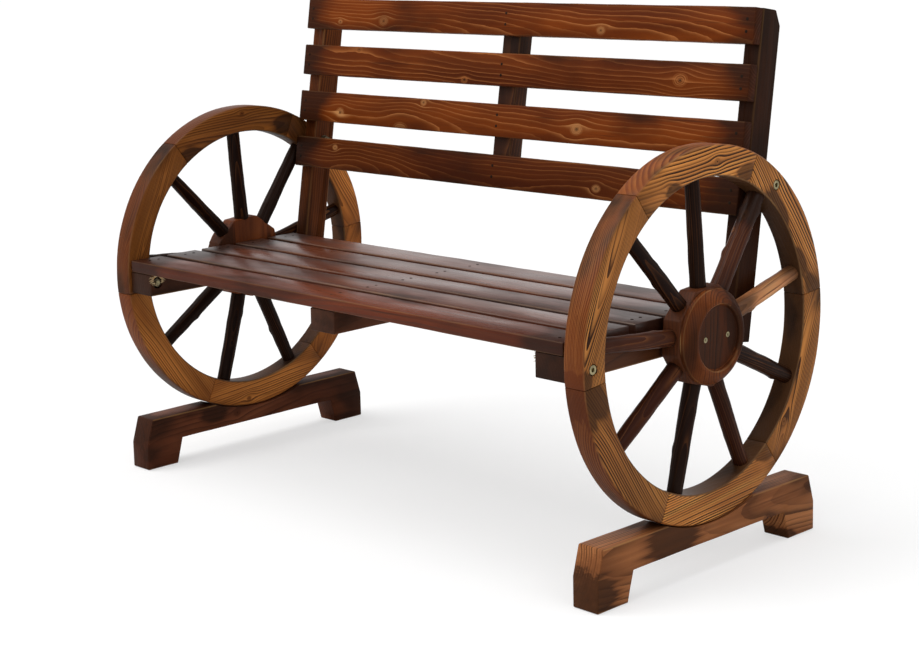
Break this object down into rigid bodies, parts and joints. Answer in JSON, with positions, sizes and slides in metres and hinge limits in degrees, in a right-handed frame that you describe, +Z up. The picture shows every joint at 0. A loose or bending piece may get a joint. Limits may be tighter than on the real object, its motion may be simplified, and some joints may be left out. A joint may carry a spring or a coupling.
{
  "type": "wagon wheel bench",
  "caption": "Slatted wooden garden bench whose seat and leaning back hang between spoked wagon wheels that stand in arched feet.",
  "frame": {"origin": "on the ground, midway between the wheels, below their axle", "axes": "+X along the seat towards the sitter's left, +Y from the seat's front to the back, +Z up"},
  "size_m": [1.073, 0.536, 0.7846],
  "materials": {
    "felloe_wood": "flame-charred fir with a satin lacquer",
    "spoke_wood": "dark charred round sticks, satin",
    "hub_wood": "charred fir, satin",
    "foot_wood": "charred fir, satin",
    "seat_wood": "charred fir, satin",
    "back_wood": "charred fir, satin",
    "frame_wood": "dark charred fir, satin",
    "dowel_wood": "plain beech",
    "zinc_steel": "zinc plated",
    "nail_steel": "dull"
  },
  "bodies": {
    "root": {"left_felloe_1": "felloe_wood", "left_felloe_2": "felloe_wood", "left_felloe_3": "felloe_wood", "left_felloe_4": "felloe_wood", "left_felloe_5": "felloe_wood", "left_felloe_6": "felloe_wood", "left_spoke_1": "spoke_wood", "left_spoke_2": "spoke_wood", "left_spoke_3": "spoke_wood", "left_spoke_4": "spoke_wood", "left_spoke_5": "spoke_wood", "left_spoke_6": "spoke_wood", "left_spoke_7": "spoke_wood", "left_spoke_8": "spoke_wood", "left_spoke_9": "spoke_wood", "left_hub_core": "hub_wood", "left_hub_cap": "hub_wood", "left_foot": "foot_wood", "left_seat_rail": "frame_wood", "left_back_post": "frame_wood", "right_felloe_1": "felloe_wood", "right_felloe_2": "felloe_wood", "right_felloe_3": "felloe_wood", "right_felloe_4": "felloe_wood", "right_felloe_5": "felloe_wood", "right_felloe_6": "felloe_wood", "right_spoke_1": "spoke_wood", "right_spoke_2": "spoke_wood", "right_spoke_3": "spoke_wood", "right_spoke_4": "spoke_wood", "right_spoke_5": "spoke_wood", "right_spoke_6": "spoke_wood", "right_spoke_7": "spoke_wood", "right_spoke_8": "spoke_wood", "right_spoke_9": "spoke_wood", "right_hub_core": "hub_wood", "right_hub_cap": "hub_wood", "right_foot": "foot_wood", "right_seat_rail": "frame_wood", "right_back_post": "frame_wood", "seat_slat_1": "seat_wood", "seat_slat_2": "seat_wood", "seat_slat_3": "seat_wood", "seat_slat_4": "seat_wood", "seat_slat_5": "seat_wood", "back_slat_1": "back_wood", "back_slat_2": "back_wood", "back_slat_3": "back_wood", "back_slat_4": "back_wood", "middle_seat_rail": "frame_wood", "middle_batten": "frame_wood", "wheel_bolts": "zinc_steel", "bolt_washers": "zinc_steel", "bolt_nuts": "zinc_steel", "felloe_dowels": "dowel_wood", "foot_screws": "zinc_steel", "rail_screws": "zinc_steel", "hub_cap_screws": "zinc_steel", "seat_nails": "nail_steel", "back_nails": "nail_steel"}
  },
  "joints": []
}
